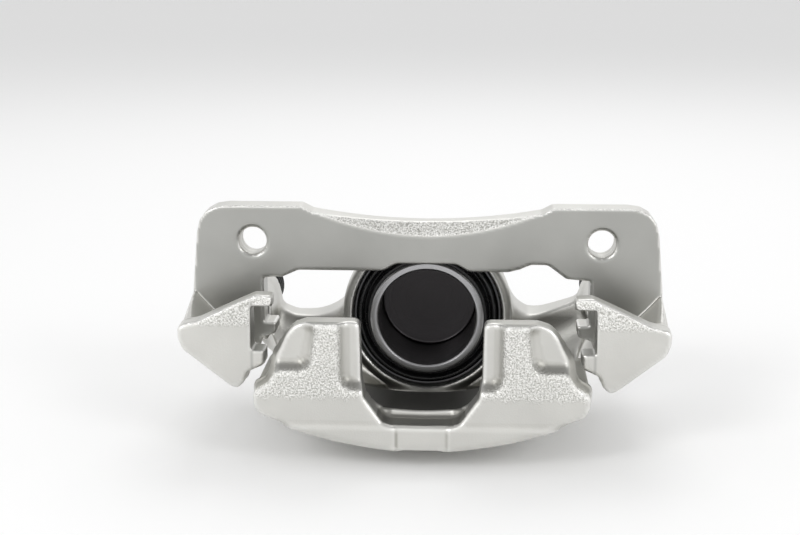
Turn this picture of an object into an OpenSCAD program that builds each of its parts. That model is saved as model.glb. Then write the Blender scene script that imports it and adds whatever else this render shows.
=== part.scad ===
// Single-piston floating brake caliper with its carrier bracket.
// Frame: +X along the bolt line, +Y inboard (away from the wheel), +Z towards the disc centre.
// Origin: midway between the two bracket bolt holes, on the inboard mounting face.

/* [Disc and pads the caliper is made for] */
// Radius of the brake disc
disc_r = 130; // [110:1:160]
// Thickness of the brake disc
disc_t = 24; // [18:1:30]
// Depth of the disc rim below the bolt line
rim_drop = 64; // [62:0.5:66]
// Clearance between the disc faces and the bracket
disc_gap = 3.5; // [2.5:0.1:5]
// Thickness of a new brake pad with its backing plate
pad_t = 15.5; // [13:0.5:18]
// Length of the pad backing plate between the slot walls
pad_len = 152.4; // [140:0.2:160]
// Height of the pad slots
slot_h = 18.7; // [15:0.1:21]

/* [Bracket] */
// Distance between the two mounting holes
bolt_span = 162; // [150:1:200]
// Radius of the threaded mounting holes
bolt_hole_r = 6.3; // [5:0.1:7.5]
// Material outside each mounting hole
edge_w = 28.5; // [22:0.5:34]
// Thickness of the bracket plate
plate_t = 14; // [11:0.5:18]
// Height of the plate above the bolt line
plate_top = 16.5; // [13:0.5:22]
// Thickness of the outboard ends of the bracket
end_t = 11.4; // [9:0.2:14]
// Reach of the lugs that close the pad slots
lug_d = 7.9; // [5:0.1:9]
// Radial room between the disc rim and the arms
arm_room = 11; // [4:0.5:12]

/* [Piston and bore] */
// Piston outer diameter
piston_d = 54; // [44:1:56]
// Piston length
piston_l = 48; // [42:1:56]
// Wall of the piston cup
piston_wall = 3.6; // [3:0.1:5]
// Depth of the piston cup
cup_depth = 38; // [30:1:42]
// Height of the piston axis below the bolt line
piston_drop = 39.2; // [39:0.2:48]
// Radial running clearance of sliding fits
run_gap = 0.06; // [0.02:0.01:0.09]

/* [Caliper housing] */
// Gap between the mounting face of the bracket and the housing
housing_gap = 3.5; // [3:0.1:6]
// Wall of the cylinder round the bore
bore_wall = 11.5; // [9:0.5:14]
// Thickness of the outboard fingers
finger_t = 13; // [11:0.5:16]
// Free play behind the outboard pad
pad_play = 2; // [1:0.1:3]
// Half width of the gap between the fingers
finger_gap = 27; // [20:0.5:30]
// Thickness of the bridge over the disc
bridge_t = 13.2; // [11:0.2:17]
// Clearance between the disc rim and the bridge
rim_gap = 2.7; // [2:0.1:5]

/* [Guide bolts] */
// Outer radius of the guide sleeves
sleeve_r = 8; // [7:0.1:9]
// Radius of the guide bolt shanks
shank_r = 5; // [4:0.1:5.5]
// Wall of the rubber bushings
bushing_wall = 2.5; // [2:0.1:3.5]
// Wall of the bosses in the ears
boss_wall = 2.2; // [2:0.1:4]
// Length of the bosses in the ears
boss_l = 34; // [28:1:40]
// Distance from the pad slot wall to the guide axis
guide_out = 12.6; // [11:0.1:14.5]
// Height of the left guide axis below the bolt line
guide_drop_left = 37.5; // [34:0.5:39]
// Height of the right guide axis below the bolt line
guide_drop_right = 34.5; // [32:0.5:37]
// Length of the ridged boots at rest
boot_l = 18; // [14:1:24]

/* [Bleeder and inlet] */
// Thread radius of the bleeder screw
bleeder_r = 4; // [3:0.1:5]
// Thread radius of the hose inlet
inlet_r = 4.5; // [4:0.1:6]
// Depth of the hose inlet
inlet_l = 12; // [8:1:13]

/* [Hidden] */
$fn = 64;

zinc = "#c4c4be";
turned = "#a9a9a6";
rubber = "#1b1b1c";
dark_steel = "#5c5c5a";
over = 0.5;                          // how far a cut runs past a face

// Places along Y, from the mounting face outboard
disc_in = -plate_t - disc_gap;
disc_out = disc_in - disc_t;
end_in = disc_out - disc_gap;
end_out = end_in - end_t;
finger_in = disc_out - pad_t - pad_play;
finger_out = finger_in - finger_t;
rim_y = disc_in + pad_t;

// Bracket
disc_z = disc_r - rim_drop;          // height of the disc centre above the bolt line
bolt_x = bolt_span / 2;
half_w = bolt_x + edge_w;
slot_x = pad_len / 2;
slot_floor = -40.7;
slot_top = slot_floor + slot_h;
lug_x = slot_x - lug_d;
arm_clear_r = disc_r + arm_room;
plate_bottom = -13.8;
arch_z = -10.2;                      // arch that clears the piston
corner_r = 14;
under_left = [[67.5, -17.2], [60, plate_bottom], [20, plate_bottom]];
under_right = [[65, -16.7], [60.5, -13], [56, arch_z], [48, arch_z], [43, -12.5],
               [38, plate_bottom], [20, plate_bottom]];

// Housing
bore_r = piston_d / 2 + run_gap;
housing_r = bore_r + bore_wall;
recess_r = bore_r + 8.6;             // room for the boot round the piston
recess_d = 7.5;
front_r = recess_r + 4.8;
bore_end = rim_y + piston_l + 4;
housing_end = bore_end + 10;
bridge_in_r = disc_r + rim_gap;
bridge_out_r = 173;                  // flatter arc of the outer skin
bridge_out_z = bridge_out_r + disc_z - bridge_in_r - bridge_t - 0.9;
side_x = slot_x - 1.6;
bridge_start = finger_in - 1;        // laps into the fingers
bridge_end = 32;
room_r = disc_z + piston_drop + front_r;

// Guides
guide_x = slot_x + guide_out;
bushing_r = sleeve_r + run_gap + bushing_wall;
boss_r = bushing_r + boss_wall;
boss_in = 5;
boss_out = boss_in + boss_l;
boot_gap = 0.3;
washer_y = boss_out + boot_l + boot_gap;
washer_t = 2;
washer_r = sleeve_r + 3;
wiper_l = 3;
ear_front = 28;
blind_y = -plate_t + 3;              // bottom of the guide bolt holes, which don't show in front

// Bleeder and inlet, on the inboard end of the cylinder
bleeder_x = -21;
bleeder_z = -18;
bleeder_face = housing_end + 2;
inlet_x = 17;
inlet_z = -34;
inlet_face = housing_end + 4;

module along_y(y0) translate([0, y0, 0]) rotate([-90, 0, 0]) children();

// A solid whose outline lies in the XZ plane, from y0 inboard to y1
module slab(y0, y1) translate([0, y1, 0]) rotate([90, 0, 0]) linear_extrude(y1 - y0) children();

module at_guide(side) {
    drop = side < 0 ? guide_drop_left : guide_drop_right;
    translate([side * guide_x, 0, -drop]) children();
}

module at_piston() translate([0, 0, -piston_drop]) children();

// A ring or a disc about the Y axis
module ring(r_out, r_in, y0, y1) {
    difference() {
        along_y(y0) cylinder(r = r_out, h = y1 - y0);
        along_y(y0 - over) cylinder(r = r_in, h = y1 - y0 + 2 * over);
    }
}

function arc(cx, cy, r, a0, a1, n) =
    [for (i = [0:n]) let (a = a0 + (a1 - a0) * i / n) [cx + r * cos(a), cy + r * sin(a)]];

// ---------- bracket ----------

// Half of the plate: raised bolt pad outside, a shallow dip in the middle
module plate_half(underside) {
    polygon(concat(
        [[0, 9], [22, 9.9], [41, 11.9], [54, 13.4], [58, plate_top]],
        arc(half_w - 1.5 - corner_r, plate_top - corner_r, corner_r, 80, 5, 7),
        [[half_w, -22], [half_w, -34], [slot_x, -34], [slot_x, slot_top + 5.5]],
        underside,
        [[14, arch_z], [0, arch_z]]));
}

// One arm seen from the wheel side: a C-shaped pad slot inside, a sloping ridge above
module arm_outline(top, floor_z, lug_bottom) {
    polygon([[lug_x, top + 6.4], [slot_x - 0.5, top + 6.4], [half_w - 1.5, -29.2],
             [half_w, -30.8], [half_w, -36.1], [half_w - 2.5, -41], [slot_x + 9.3, -58.2],
             [slot_x + 7.1, -59.2], [slot_x + 5.2, -57.5], [slot_x + 2.8, -51],
             [slot_x + 1.3, lug_bottom - 1.5], [slot_x - 4, lug_bottom], [lug_x + 2.5, lug_bottom + 1.2],
             [lug_x + 2.8, floor_z], [slot_x, floor_z], [slot_x, top], [lug_x, top + 1.5]]);
}

module arm() {
    shoulder_z = -22.5;
    shoulder_tilt = 15.3;
    reach_l = 45;
    slab(end_out, end_in) arm_outline(slot_top, slot_floor, -47.9);
    slab(-plate_t, 0) arm_outline(slot_top + 4.8, slot_floor + 1.7, -45);
    difference() {
        slab(end_in, -plate_t) intersection() {
            union() {
                arm_outline(slot_top, slot_floor, -47.9);
                translate([slot_x, slot_floor]) square([half_w - slot_x, -slot_floor + shoulder_z]);
            }
            translate([slot_x, -70]) square([half_w, 80]);
        }
        translate([0, 0, disc_z]) along_y(end_in - over)
            cylinder(r = arm_clear_r, h = -plate_t - end_in + 2 * over, $fn = 128);
        // the outer shoulder drops towards the outboard end
        translate([slot_x - over, -plate_t, shoulder_z]) rotate([shoulder_tilt, 0, 0])
            translate([0, -reach_l, 0]) cube([half_w, reach_l, reach_l]);
    }
}

module bracket_casting() color(zinc) {
    relief_z = 5;                    // where the cast slope leaves the front face
    relief_half = 46;
    difference() {
        union() {
            slab(-plate_t, 0) plate_half(under_right);
            slab(-plate_t, 0) mirror([1, 0]) plate_half(under_left);
            arm();
            mirror([1, 0, 0]) arm();
        }
        for (side = [-1, 1]) {
            translate([side * bolt_x, 0, 0]) along_y(-plate_t - over)
                cylinder(r = bolt_hole_r, h = plate_t + 2 * over);
            translate([side * bolt_x, 0, 0]) along_y(-plate_t - over)
                cylinder(r1 = bolt_hole_r + 1.3, r2 = bolt_hole_r, h = 1.3 + over);
            at_guide(side) along_y(blind_y) cylinder(r = shank_r, h = over - blind_y);
        }
        translate([-relief_half, -plate_t, relief_z]) rotate([49, 0, 0])
            cube([2 * relief_half, 20, 10]);
    }
}

// ---------- guides ----------

module guide_bolt(side) color(dark_steel) at_guide(side) {
    head_y = washer_y + washer_t;
    flange_t = 2;
    hex_af = 17;
    hex_h = 7;
    tip_y = blind_y + 1;
    along_y(tip_y) cylinder(r = shank_r, h = head_y - tip_y + over);
    along_y(head_y) cylinder(r = washer_r - 0.8, h = flange_t);
    along_y(head_y) cylinder(d = hex_af / cos(30), h = flange_t + hex_h, $fn = 6);
}

module guide_washer(side) color(turned) at_guide(side)
    ring(washer_r, shank_r, washer_y, washer_y + washer_t);

module guide_sleeve(side) color(turned) at_guide(side) ring(sleeve_r, shank_r, 0, washer_y);

module bushing(side) color(rubber) at_guide(side)
    ring(bushing_r, sleeve_r + run_gap, boss_in + wiper_l, boss_out);

module wiper_ring(side) color(rubber) at_guide(side)
    ring(bushing_r + 1, sleeve_r + run_gap, boss_in, boss_in + wiper_l);

// Ridged boot from the inboard end of the boss to the washer
module guide_boot(side) color(rubber) at_guide(side) {
    pitch = boot_l / 4;
    foot_r = boss_r - 1;
    inner = sleeve_r + 1;
    along_y(boss_out) rotate_extrude() polygon(concat(
        [[inner, 0], [foot_r, 0]],
        [for (i = [0:3]) each [[foot_r, pitch * (i + 0.1)], [boss_r + 0.5, pitch * (i + 0.35)],
                               [boss_r + 0.5, pitch * (i + 0.6)], [foot_r, pitch * (i + 0.9)]]],
        [[foot_r, boot_l], [inner, boot_l]]));
}

// ---------- caliper ----------

// Cylinder with its domed inboard end
module cylinder_body() at_piston() rotate([-90, 0, 0]) rotate_extrude($fn = 96) polygon([
    [0, housing_gap], [front_r, housing_gap], [front_r, housing_gap + recess_d + 3],
    [housing_r, housing_gap + recess_d + 5], [housing_r, housing_end - 13],
    [housing_r - 4, housing_end - 6], [housing_r - 12, housing_end - 2],
    [housing_r - 24, housing_end], [0, housing_end]]);

// Outside of the bridge, a shell of revolution cut to the width between the bracket arms
module bridge_skin() intersection() {
    translate([0, 0, bridge_out_z]) rotate([-90, 0, 0]) rotate_extrude($fn = 180) polygon([
        [0, bridge_start], [bridge_out_r, bridge_start], [bridge_out_r + 3, finger_out + 22],
        [bridge_out_r + 9, -15], [bridge_out_r + 9.5, 6], [bridge_out_r + 6, 20],
        [bridge_out_r + 2, bridge_end], [0, bridge_end]]);
    slab(bridge_start, bridge_end) polygon([[side_x - 12.6, -49.6], [side_x, -54.6], [side_x - 0.4, -61],
        [side_x - 2.5, -66], [side_x - 6, -100], [6 - side_x, -100], [2.5 - side_x, -66],
        [0.4 - side_x, -61], [-side_x, -54.6], [12.6 - side_x, -49.6]]);
}

// Space for the disc, opening out towards the cylinder
module disc_room() translate([0, 0, disc_z]) rotate([-90, 0, 0]) rotate_extrude($fn = 180)
    polygon([[0, bridge_start - over], [bridge_in_r, bridge_start - over],
             [bridge_in_r, disc_in - 14], [room_r, housing_gap],
             [room_r, bridge_end + over], [0, bridge_end + over]]);

// One finger that presses the outboard pad, and its half of the web below
module finger_outline() polygon([
    [finger_gap, -25.5], [finger_gap + 1.5, -24], [50, -24], [55, -25.5], [59.3, -28.5],
    [61.5, -33], [63, -40], [66, -47.5], [69, -52], [side_x, -54.6], [side_x - 0.4, -61],
    [side_x - 2.5, -65.2], [56, -71.2], [38.4, -76.2], [21, -79.3], [10.9, -80.7], [7, -79.2],
    [0, -79.2], [0, -70.5], [finger_gap - 8, -69.5], [finger_gap, -57]]);

// Pocket and groove cast into a finger's face
module finger_pockets() {
    pocket_d = 5;
    slab(finger_out - over, finger_out + pocket_d)
        polygon([[51, -27], [56, -29], [59, -34], [60, -40], [62, -46], [51, -46]]);
    slab(finger_out - over, finger_out + pocket_d)
        polygon([[finger_gap + 4, -20], [finger_gap + 9, -20], [finger_gap + 9, -54],
                 [finger_gap + 4, -57]]);
}

// Ear that reaches out from the cylinder and up to its guide boss
module ear(side) {
    drop = side < 0 ? guide_drop_left : guide_drop_right;
    root_x = housing_r - 9;
    rise_x = side < 0 ? guide_x - boss_r - 8 : 50;      // the right ear slopes up to its boss
    rise_z = side < 0 ? -42 : -drop - 2;
    intersection() {
        slab(ear_front, boss_out + 14) mirror([side < 0 ? 1 : 0, 0]) polygon([
            [root_x, -46.7], [rise_x, -46.7], [guide_x - boss_r - 1, rise_z],
            [guide_x - boss_r + 0.5, -drop], [guide_x, -drop], [guide_x + boss_r * 0.7, -drop - boss_r * 0.7],
            [guide_x - 8, -60], [guide_x - 30, -68], [root_x - 8, -74]]);
        translate([0, 0, -90]) linear_extrude(90) polygon([
            [0, ear_front], [side * (guide_x + boss_r), ear_front], [side * (guide_x + boss_r), boss_out],
            [side * (guide_x - boss_r), boss_out], [side * root_x, boss_out + 12], [0, boss_out + 12]]);
    }
    at_guide(side) along_y(boss_in) cylinder(r = boss_r, h = boss_l);
}

module caliper_housing() color(zinc) difference() {
    union() {
        cylinder_body();
        difference() {
            bridge_skin();
            disc_room();
        }
        slab(finger_out, finger_in) finger_outline();
        slab(finger_out, finger_in) mirror([1, 0]) finger_outline();
        ear(-1);
        ear(1);
        translate([bleeder_x, 0, bleeder_z]) along_y(bore_end - 8)
            cylinder(r = bleeder_r + 4.5, h = bleeder_face - bore_end + 8);
        translate([inlet_x, 0, inlet_z]) along_y(bore_end)
            cylinder(r = inlet_r + 5, h = inlet_face - bore_end);
    }
    // bore, boot recess with its chamfer, and seal groove
    at_piston() along_y(housing_gap - over) cylinder(r = bore_r, h = bore_end - housing_gap + over);
    at_piston() along_y(housing_gap - over) cylinder(r = recess_r, h = recess_d + over);
    at_piston() along_y(housing_gap - over) cylinder(r1 = recess_r + 1.2, r2 = recess_r, h = 1.2 + over);
    at_piston() along_y(seal_y) cylinder(r = seal_r, h = seal_w);
    finger_pockets();
    mirror([1, 0, 0]) finger_pockets();
    for (side = [-1, 1]) at_guide(side) {
        along_y(boss_in - over) cylinder(r = bushing_r, h = boss_l + 2 * over);
        along_y(boss_in - over) cylinder(r = bushing_r + 1, h = wiper_l + over);
    }
    // bleeder thread with a passage to the bore, and the hose inlet with its passage
    translate([bleeder_x, 0, bleeder_z]) along_y(bleeder_tip) cylinder(r = bleeder_r + run_gap, h = 60);
    translate([inlet_x, 0, inlet_z]) along_y(inlet_face - inlet_l) cylinder(r = inlet_r, h = inlet_l + over);
    translate([inlet_x, 0, inlet_z]) along_y(bore_end - 1) cylinder(r = 2, h = 20);
}

seal_y = housing_gap + recess_d + 5;
seal_w = 3.4;
seal_r = bore_r + 3;

module piston() color(turned) at_piston() difference() {
    along_y(rim_y) cylinder(r = piston_d / 2, h = piston_l, $fn = 96);
    along_y(rim_y - over) cylinder(r = piston_d / 2 - piston_wall, h = cup_depth + over, $fn = 96);
    ring(piston_d / 2 + 1, lip_r, lip_y, lip_y + lip_w);
}

// Groove near the rim that holds the lip of the dust boot
lip_y = rim_y + 3;
lip_w = 2.6;
lip_r = piston_d / 2 - 1.3;

module piston_seal() color(rubber) at_piston()
    ring(seal_r - 0.1, bore_r + 0.02, seal_y + 0.1, seal_y + seal_w - 0.1);

// Dust boot: a lip in the piston groove, two folds, and a bead in the recess
module piston_boot() color(rubber) at_piston() {
    wall_r = piston_d / 2;
    bead_y = housing_gap + recess_d;
    rotate([-90, 0, 0]) rotate_extrude($fn = 96) polygon([
        [lip_r + 0.1, lip_y + 0.2], [wall_r + 2.2, lip_y + 0.2], [wall_r + 2.6, bead_y - 3],
        [wall_r + 3.4, bead_y - 3], [wall_r + 3.6, lip_y + 1], [wall_r + 5.4, lip_y + 1],
        [wall_r + 5.6, bead_y - 3], [recess_r, bead_y - 3], [recess_r, bead_y],
        [wall_r + 1, bead_y], [wall_r + 1, lip_y + lip_w - 0.2], [lip_r + 0.1, lip_y + lip_w - 0.2]]);
}

module boot_retaining_ring() color(dark_steel) at_piston() {
    wire_r = 0.9;
    along_y(housing_gap + recess_d - 3 - wire_r) rotate_extrude($fn = 96)
        translate([recess_r - wire_r, 0]) circle(r = wire_r, $fn = 24);
}

// ---------- bleeder ----------
bleeder_tip = bore_end + 1;
bleeder_hex_y = bleeder_face + 1;
bleeder_hex_h = 6;
nipple_r = 3;
nipple_l = 9;

module bleeder_screw() color(dark_steel) translate([bleeder_x, 0, bleeder_z]) {
    nipple_y = bleeder_hex_y + bleeder_hex_h;
    difference() {
        union() {
            along_y(bleeder_tip + 2.5) cylinder(r = bleeder_r, h = bleeder_hex_y - bleeder_tip - 2.5);
            along_y(bleeder_tip + 0.5) cylinder(r1 = 1.5, r2 = bleeder_r, h = 2);
            along_y(bleeder_hex_y) cylinder(d = 10 / cos(30), h = bleeder_hex_h, $fn = 6);
            along_y(nipple_y) cylinder(r = nipple_r - 0.6, h = nipple_l);
            along_y(nipple_y + nipple_l - 4) cylinder(r1 = nipple_r, r2 = nipple_r - 0.6, h = 4);
        }
        along_y(bleeder_tip + 6) cylinder(r = 1, h = 60);
    }
}

module bleeder_cap() color(rubber) translate([bleeder_x, 0, bleeder_z]) difference() {
    cap_y = bleeder_hex_y + bleeder_hex_h + 0.5;
    union() {
        along_y(cap_y) cylinder(r = nipple_r + 1.8, h = nipple_l + 2.5);
        along_y(cap_y) cylinder(r = nipple_r + 2.5, h = 2);
    }
    along_y(cap_y - over) cylinder(r = nipple_r + 0.08, h = nipple_l + over);
}

bracket_casting();
guide_bolt(-1);  // guide_bolt_left
guide_bolt(1);  // guide_bolt_right
guide_washer(-1);  // guide_washer_left
guide_washer(1);  // guide_washer_right
guide_sleeve(-1);  // guide_sleeve_left
guide_sleeve(1);  // guide_sleeve_right
caliper_housing();
bushing(-1);  // bushing_left
bushing(1);  // bushing_right
wiper_ring(-1);  // wiper_ring_left
wiper_ring(1);  // wiper_ring_right
guide_boot(-1);  // guide_boot_left
guide_boot(1);  // guide_boot_right
piston();
piston_seal();
piston_boot();
boot_retaining_ring();
bleeder_screw();
bleeder_cap();
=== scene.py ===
# %% [markdown]
# # A floating brake caliper in its carrier bracket
# The object is a front brake caliper with one piston. A flat carrier bracket bolts to the steering
# knuckle and reaches over the disc with two arms. The caliper housing floats on two guide sleeves,
# so that one piston presses both pads. This lesson takes the working frame from the CAD model and
# gives every piece its finished surface: castings with soft fillets, turned steel and folded rubber.

# %% Load the frame
import math

import bmesh
import bpy
import numpy as np
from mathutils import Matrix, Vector


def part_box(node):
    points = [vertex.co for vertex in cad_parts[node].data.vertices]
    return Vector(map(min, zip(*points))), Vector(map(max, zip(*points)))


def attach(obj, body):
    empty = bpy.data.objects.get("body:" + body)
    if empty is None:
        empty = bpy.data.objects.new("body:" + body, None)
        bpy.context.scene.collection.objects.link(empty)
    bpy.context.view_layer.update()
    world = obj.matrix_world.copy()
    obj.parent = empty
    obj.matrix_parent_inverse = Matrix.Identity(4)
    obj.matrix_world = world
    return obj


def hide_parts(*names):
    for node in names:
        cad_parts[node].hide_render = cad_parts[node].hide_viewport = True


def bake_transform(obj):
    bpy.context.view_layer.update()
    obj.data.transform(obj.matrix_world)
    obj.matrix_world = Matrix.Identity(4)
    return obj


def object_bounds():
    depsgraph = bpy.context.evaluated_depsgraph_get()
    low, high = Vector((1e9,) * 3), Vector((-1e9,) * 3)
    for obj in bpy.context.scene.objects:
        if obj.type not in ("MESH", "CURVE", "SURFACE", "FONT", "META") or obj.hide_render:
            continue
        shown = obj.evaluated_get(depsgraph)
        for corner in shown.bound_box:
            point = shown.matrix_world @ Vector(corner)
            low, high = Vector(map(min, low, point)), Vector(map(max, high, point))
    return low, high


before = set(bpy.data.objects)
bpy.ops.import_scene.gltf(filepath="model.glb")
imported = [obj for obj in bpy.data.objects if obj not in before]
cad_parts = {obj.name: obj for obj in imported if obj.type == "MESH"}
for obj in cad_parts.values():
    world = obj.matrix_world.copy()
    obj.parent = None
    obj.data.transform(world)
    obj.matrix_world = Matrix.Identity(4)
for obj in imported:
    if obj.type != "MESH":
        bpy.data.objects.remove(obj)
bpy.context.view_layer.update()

# %% [markdown]
# ## Working units and the places everything hangs on
# Brake parts are drawn in millimetres, and Blender works in metres, so each shape here is worked
# out in millimetres and scaled once, when its mesh is made. The places of the fits are read from
# the frame, so that a sleeve, a bore and a boot always meet.

# %% Places from the frame
MM = 0.001


def box_mm(node):
    """Lowest and highest corner of a CAD node, in millimetres."""
    low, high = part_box(node)
    return np.array(low) / MM, np.array(high) / MM


def axis_mm(node):
    """X and Z of the middle of a turned node, which is where its axis along Y runs."""
    low, high = box_mm(node)
    return (low[0] + high[0]) / 2, (low[2] + high[2]) / 2


plate_low, plate_high = box_mm("bracket_casting")
housing_low, housing_high = box_mm("caliper_housing")
piston_low, piston_high = box_mm("piston")
PISTON = axis_mm("piston")
PISTON_R = (piston_high[0] - piston_low[0]) / 2
RIM_Y = piston_low[1]
PISTON_END = piston_high[1]
GUIDES = {-1: axis_mm("guide_sleeve_left"), 1: axis_mm("guide_sleeve_right")}
SIDE_NAME = {-1: "left", 1: "right"}
BLEEDER = axis_mm("bleeder_screw")
INLET = (17.0, -34.0)
FACE_Y = -14.0                    # outboard face of the bracket plate
FINGER_OUT = housing_low[1]
FINGER_IN = FINGER_OUT + 13.0
DISC_Z = 66.0                     # height of the disc centre
ARM_CLEAR_R = 141.0               # room the arms leave round the disc
SLEEVE_R = 8.0
SHANK_R = 5.0                     # guide bolts
BUSHING_R = 10.56
WIPER_R = 11.25
BOSS_R = 13.2                     # bosses in the ears
BOSS_IN = 5.0
BOSS_OUT = 39.0
WIPER_END = 8.0
WASHER_Y = 57.3
WASHER_END = 59.3
COLLAR_Y = 3.5                    # front of the cylinder
RECESS_R = 35.66                  # recess for the dust boot
RECESS_END = 11.0
print("piston radius", PISTON_R, "axis", PISTON, "rim at", RIM_Y)


# %% [markdown]
# ## Castings as distance fields
# A cast part is many simple bodies that flow into each other with fillets, and no single sheet of
# two parameters covers it. The way chosen here is a signed distance field: for any point in space
# a function says how far it is from the surface, negative inside. Bodies are joined by a smooth
# minimum, which leaves the fillet a foundry pattern has, and drilled by a maximum. Everything is
# whole-array numpy, so the same function serves a grid of points and the finished vertices.

# %% Distance of flat outlines
def rounded(points, radius, steps=5):
    """Replace each corner of a closed outline by an arc that touches both its sides.
    The radius is a number, or one number for each corner."""
    points = np.asarray(points, float)
    radii = np.broadcast_to(np.asarray(radius, float), (len(points),))
    before, after = np.roll(points, 1, 0), np.roll(points, -1, 0)
    out = []
    for p, a, b, r in zip(points, before, after, radii):
        ua, ub = (a - p) / np.linalg.norm(a - p), (b - p) / np.linalg.norm(b - p)
        half = math.acos(np.clip(ua @ ub, -1, 1)) / 2
        reach = min(r / math.tan(half), 0.48 * min(np.linalg.norm(a - p), np.linalg.norm(b - p)))
        if reach < 0.05 or half > 1.5:
            out.append(p)
            continue
        t = np.linspace(0, 1, steps)[:, None]
        start, end = p + ua * reach, p + ub * reach
        out.extend((1 - t) ** 2 * start + 2 * t * (1 - t) * p + t ** 2 * end)
    return np.array(out)


def outline(u, v, points):
    """Signed distance from (u, v) to a closed outline: the nearest side's distance,
    negative where a ray to the right crosses the outline an odd number of times."""
    near = np.full(np.broadcast(u, v).shape, 1e9, np.float32)
    inside = np.zeros(near.shape, bool)
    points = np.asarray(points, np.float32)
    for (ax, ay), (bx, by) in zip(points, np.roll(points, -1, 0)):
        ex, ey = bx - ax, by - ay
        wu, wv = u - ax, v - ay
        t = np.clip((wu * ex + wv * ey) / (ex * ex + ey * ey), 0, 1)
        near = np.minimum(near, (wu - ex * t) ** 2 + (wv - ey * t) ** 2)
        if ay != by:
            inside ^= ((v < ay) != (v < by)) & (u < ax + ex * (v - ay) / ey)
    return np.where(inside, -1, 1) * np.sqrt(near)


# %% Bodies and how they join
def slab(flat, y, y0, y1, edge=0.0):
    """An outline carried along Y from y0 to y1, with its rim rounded to the radius edge."""
    a = flat + edge
    b = np.abs(y - (y0 + y1) / 2) - (y1 - y0) / 2 + edge
    return np.minimum(np.maximum(a, b), 0) + np.hypot(np.maximum(a, 0), np.maximum(b, 0)) - edge


def rod(x, y, z, axis, radius, y0, y1, edge=0.0):
    """A cylinder along Y about axis = (x, z)."""
    return slab(np.hypot(x - axis[0], z - axis[1]) - radius, y, y0, y1, edge)


def join(a, b, fillet=0.0):
    """Union: the smaller distance, with a fillet where both are alike (polynomial smooth minimum)."""
    if fillet <= 0:
        return np.minimum(a, b)
    h = np.clip(0.5 + 0.5 * (b - a) / fillet, 0, 1)
    return b + (a - b) * h - fillet * h * (1 - h)


def common(a, b, fillet=0.0):
    """Intersection: the larger distance, its edge rounded by the fillet."""
    return -join(-a, -b, fillet)


def cut(a, b, fillet=0.0):
    """Take body b out of body a, its mouth rounded by the fillet."""
    return common(a, -b, fillet)


# %% Skinning a field
def skin(field, low, high, step):
    """Surface nets: one vertex in each grid cell the surface passes through, at the mean of its edge
    crossings, and one quad round each crossed grid edge. Each vertex is then slid along the
    field's gradient until its distance is zero."""
    axes = [np.arange(a - 2 * step, b + 3 * step, step, dtype=np.float32) for a, b in zip(low, high)]
    x, y, z = axes[0][:, None, None], axes[1][None, :, None], axes[2][None, None, :]
    f = np.broadcast_to(field(x, y, z), tuple(len(a) for a in axes)).astype(np.float32)
    inside = f < 0
    cells = tuple(n - 1 for n in f.shape)
    count = np.zeros(cells, np.int8)
    corners = [(i, j, k) for i in (0, 1) for j in (0, 1) for k in (0, 1)]
    for i, j, k in corners:
        count += inside[i:i + cells[0], j:j + cells[1], k:k + cells[2]]
    at = np.argwhere((count > 0) & (count < 8))
    value = {c: f[at[:, 0] + c[0], at[:, 1] + c[1], at[:, 2] + c[2]] for c in corners}
    total, hits = np.zeros((len(at), 3)), np.zeros(len(at))
    for c in corners:
        for axis in range(3):
            if c[axis]:
                continue
            d = tuple(1 if n == axis else c[n] for n in range(3))
            a, b = value[c], value[d]
            crossed = (a < 0) != (b < 0)
            t = np.where(crossed, a / np.where(crossed, a - b, 1), 0)
            spot = np.tile(np.array(c, float), (len(at), 1))
            spot[:, axis] += t
            total += spot * crossed[:, None]
            hits += crossed
    start = np.array([a[0] for a in axes])
    points = start + (at + total / hits[:, None]) * step
    number = np.full(cells, -1, np.int32)
    number[tuple(at.T)] = np.arange(len(at))
    faces = []
    for axis in range(3):
        u, v = (axis + 1) % 3, (axis + 2) % 3
        here = [slice(1, -1)] * 3
        here[axis] = slice(0, -1)
        there = list(here)
        there[axis] = slice(1, None)
        first = inside[tuple(here)]
        crossed = np.argwhere(first != inside[tuple(there)])
        forward = first[tuple(crossed.T)]
        crossed[:, u] += 1
        crossed[:, v] += 1
        ring = []
        for du, dv in ((-1, -1), (0, -1), (0, 0), (-1, 0)):
            cell = crossed.copy()
            cell[:, u] += du
            cell[:, v] += dv
            ring.append(number[tuple(cell.T)])
        quad = np.stack(ring, 1)
        quad[~forward] = quad[~forward][:, ::-1]
        faces.append(quad)
    points = settle(field, points, step)
    return points, np.concatenate(faces)


def gradient(field, p, reach=0.05):
    """Field value at each point, and its gradient by forward differences."""
    x, y, z = p.T
    f = field(x, y, z)
    return f, np.stack([field(x + reach, y, z) - f, field(x, y + reach, z) - f,
                        field(x, y, z + reach) - f], 1) / reach


def settle(field, p, step):
    """Slide points down the gradient on to the surface, never further than half a cell."""
    for _ in range(2):
        f, g = gradient(field, p)
        move = -f[:, None] * g / np.maximum((g * g).sum(1), 0.05)[:, None]
        length = np.linalg.norm(move, axis=1)
        p = p + move * np.minimum(1, 0.5 * step / np.maximum(length, 1e-6))[:, None]
    return p


def curvature(field, p, reach=0.9):
    """Sum of the field's second differences (its Laplacian), which is one over the radius of
    an edge: above zero on an outer edge, below zero in an inner corner, zero on a flat."""
    x, y, z = p.T
    total = -6 * field(x, y, z)
    for dx, dy, dz in ((reach, 0, 0), (0, reach, 0), (0, 0, reach)):
        total = total + field(x + dx, y + dy, z + dz) + field(x - dx, y - dy, z - dz)
    return total / reach ** 2


def edge_mask(curve):
    """1 on outer edges, 0 on flats and in corners."""
    return np.clip(curve / 0.55 - 0.35, 0, 1)


def hollow_mask(curve):
    """1 in tight inner corners, 0 on flats and outer edges."""
    return np.clip(-curve / 0.45 - 0.25, 0, 1)


def ramp(value, low, high):
    """0 below low, 1 above high, straight between."""
    return np.clip((value - low) / (high - low), 0, 1)


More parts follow.
